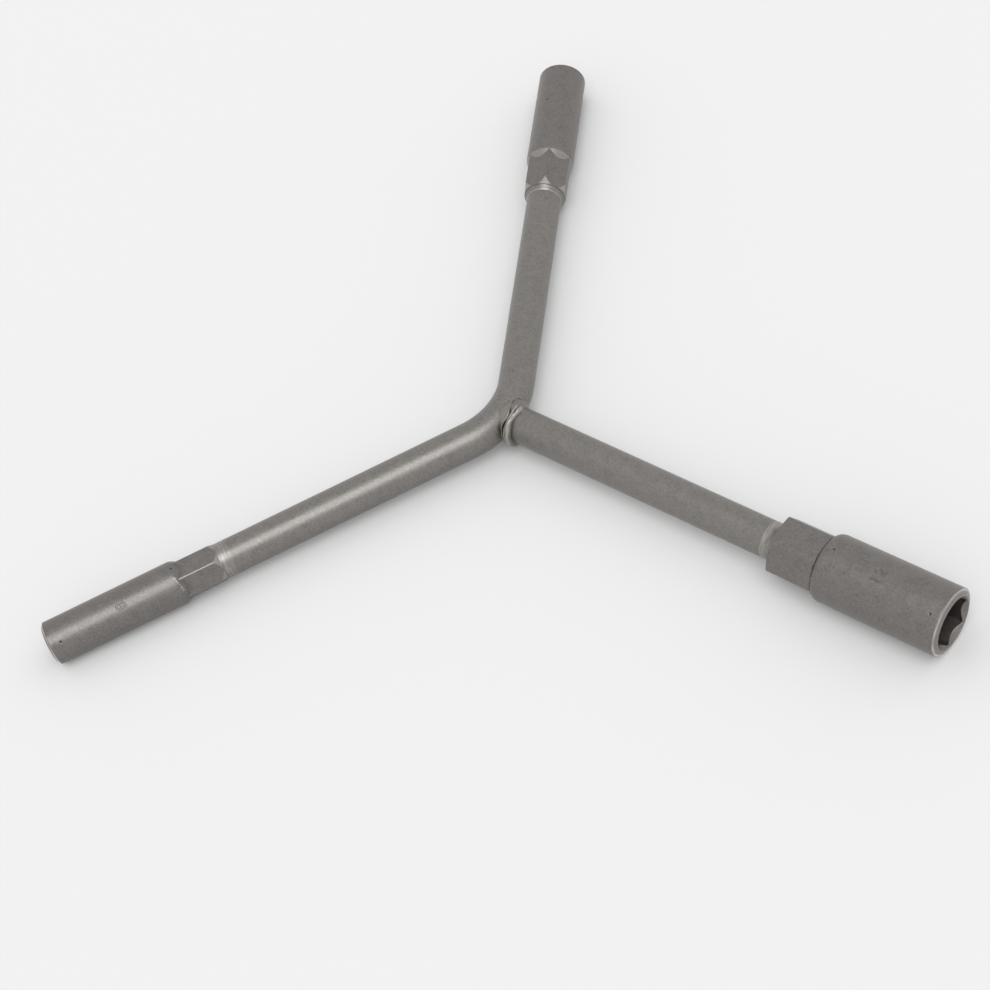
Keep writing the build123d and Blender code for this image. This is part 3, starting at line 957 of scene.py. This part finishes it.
def run_weld_metal():
    """Lumpy metal with a smoother, brighter skin."""
    material, tree, shader = new_material("run_weld_metal")
    place = add_node(tree, "ShaderNodeTexCoord").outputs["Object"]
    lumps = add_node(
        tree, "ShaderNodeTexNoise", {"Vector": place},
        {"Scale": 1 / lump_width, "Detail": 4, "Roughness": 0.6, "Distortion": 0.6},
    ).outputs["Fac"]
    tone = add_node(
        tree, "ShaderNodeMixRGB", {"Fac": lumps},
        {"Color1": linear("#74706c"), "Color2": linear("#a09c97")},
    ).outputs["Color"]
    tree.links.new(add_wear_and_shade_colour(tree, tone)[0], shader.inputs["Base Color"])
    bump = add_node(
        tree, "ShaderNodeBump", {"Height": lumps}, {"Strength": 0.5, "Distance": lump_depth}
    ).outputs["Normal"]
    tree.links.new(bump, shader.inputs["Normal"])
    shader.inputs["Metallic"].default_value = 1
    shader.inputs["Roughness"].default_value = 0.38
    print("made", material.name)
    return material


# %% [markdown]
# ### The dark of the bore
#
# A broach cuts the hexagon, and plating hardly reaches down a deep hole. So the bore is
# bare steel, stained and dull. Most of its darkness isn't colour, though: little light gets
# in, and the render works that out by itself.

# %% The dark of the bore
stain_width = 1.5 * mm


def unplated_bore_steel():
    """Broached steel that the plating didn't reach: dark and dull."""
    material, tree, shader = new_material("unplated_bore_steel")
    place = add_node(tree, "ShaderNodeTexCoord").outputs["Object"]
    stain = add_node(
        tree, "ShaderNodeTexNoise", {"Vector": place},
        {"Scale": 1 / stain_width, "Detail": 3, "Roughness": 0.6},
    ).outputs["Fac"]
    tone = add_node(
        tree, "ShaderNodeMixRGB", {"Fac": stain},
        {"Color1": linear("#67625f"), "Color2": linear("#7c7773")},
    ).outputs["Color"]
    tree.links.new(tone, shader.inputs["Base Color"])
    shader.inputs["Metallic"].default_value = 1
    shader.inputs["Roughness"].default_value = 0.5
    print("made", material.name)
    return material


# %% Dress the pieces
run_skin, bore_skin = run_weld_metal(), unplated_bore_steel()
finishes = (
    ((bent_rod, stem_rod), (bar_skin,), "bar"),
    ((large_turned, medium_turned, small_turned), (socket_skin, bore_skin), "socket"),
    ((large_ring, medium_ring, small_ring), (bar_skin,), "weld"),
    ((foot_weld,), (run_skin,), "weld"),
)
for pieces, materials, slot in finishes:
    for piece in pieces:
        for material in materials:
            piece.data.materials.append(material)
        print(piece.name, "wears", [material.name for material in materials])

# %% [markdown]
# ## The table
#
# The wrench lies on its three barrels. They differ in size, so the table is tipped by less
# than a degree to touch all three. A level table would leave two of them in the air, and
# their shadows would give that away. It is matt painted board: pale, and with next to no
# gloss, so it shows the shadows and no mirror image. It is made so wide that its edge is out
# of sight from any side.


# %% Table
table_half = 25  # metres
touch_share = 0.93  # how far out along an arm its barrel touches the table
table_gap = 0.05 * mm


def make_table():
    """A wide plate that touches the underside of the three barrels."""
    feet = []
    for arm in (large, medium, small):
        out = Vector((cos(arm["turn"]), sin(arm["turn"]), 0))
        feet.append(out * arm["mouth"] * touch_share - Vector((0, 0, arm["barrel_radius"])))
    normal = (feet[1] - feet[0]).cross(feet[2] - feet[0]).normalized()
    if normal.z < 0:
        normal = -normal
    middle = feet[0] - normal * table_gap
    bm = bmesh.new()
    bmesh.ops.create_grid(bm, x_segments=1, y_segments=1, size=table_half)
    tip = Vector((0, 0, 1)).rotation_difference(normal).to_matrix()
    bmesh.ops.rotate(bm, verts=bm.verts, cent=(0, 0, 0), matrix=tip)
    bmesh.ops.translate(bm, verts=bm.verts, vec=middle)
    mesh = bpy.data.meshes.new("table")
    bm.to_mesh(mesh)
    bm.free()
    table = bpy.data.objects.new("table", mesh)
    bpy.context.scene.collection.objects.link(table)
    print("table tipped by", round(degrees(normal.angle((0, 0, 1))), 2), "degrees")
    return table


table = make_table()
board, _, board_shader = new_material("matt_painted_board")
board_shader.inputs["Base Color"].default_value = linear("#e2e2e2")
board_shader.inputs["Roughness"].default_value = 0.9
board_shader.inputs["Specular IOR Level"].default_value = 0.1
table.data.materials.append(board)

# %% [markdown]
# ## The light
#
# Metal looks like what it mirrors. The world is an even white, as in a light tent, which
# fills every side. One soft lamp overhead draws the long gleam on the small socket's arm. It
# is a sun lamp seen very wide: it lights all three arms from one direction, where a lamp
# close by would light the nearest most.

# %% World and lamps
scene = bpy.context.scene
scene.view_settings.view_transform = "Standard"
scene.world = bpy.data.worlds.new("light_tent")
scene.world.use_nodes = True
sky = scene.world.node_tree.nodes["Background"]
sky.inputs["Color"].default_value = (1, 1, 1, 1)
sky.inputs["Strength"].default_value = 0.9

lamp_azimuth = radians(-34)
lamp_elevation = radians(66)
lamp = bpy.data.lights.new("overhead_softbox", "SUN")
lamp.energy = 0.93
lamp.angle = radians(44)
holder = bpy.data.objects.new("overhead_softbox", lamp)
toward = Vector((
    cos(lamp_azimuth) * cos(lamp_elevation), sin(lamp_azimuth) * cos(lamp_elevation),
    sin(lamp_elevation),
))
holder.rotation_euler = (-toward).to_track_quat("-Z", "Y").to_euler()
scene.collection.objects.link(holder)
print("softbox is seen", round(degrees(lamp.angle)), "degrees wide")

# %% [markdown]
# ## The camera
#
# The photograph was taken from above the large socket's side, with the camera rolled so
# that the large arm runs down to the right. Azimuth, elevation and roll say that in three
# angles, about a point on the arms' plane.

# %% Camera
camera_azimuth = radians(-35.23)
camera_elevation = radians(51.09)
camera_roll = radians(-21.93)
camera_distance = 564.8 * mm
looked_at = Vector((11.34 * mm, -22.1 * mm, 0))

lens = bpy.data.cameras.new("camera")
lens.sensor_width = 36  # millimetres, as is the next
lens.lens = 77.68
camera = bpy.data.objects.new("camera", lens)
look = (
    Matrix.Rotation(camera_azimuth + pi / 2, 4, "Z")
    @ Matrix.Rotation(pi / 2 - camera_elevation, 4, "X")
    @ Matrix.Rotation(camera_roll, 4, "Z")
)
back = look.to_3x3() @ Vector((0, 0, 1))
camera.matrix_world = Matrix.Translation(looked_at + back * camera_distance) @ look
scene.collection.objects.link(camera)
scene.camera = camera
print("camera at", [round(c, 4) for c in camera.matrix_world.translation])
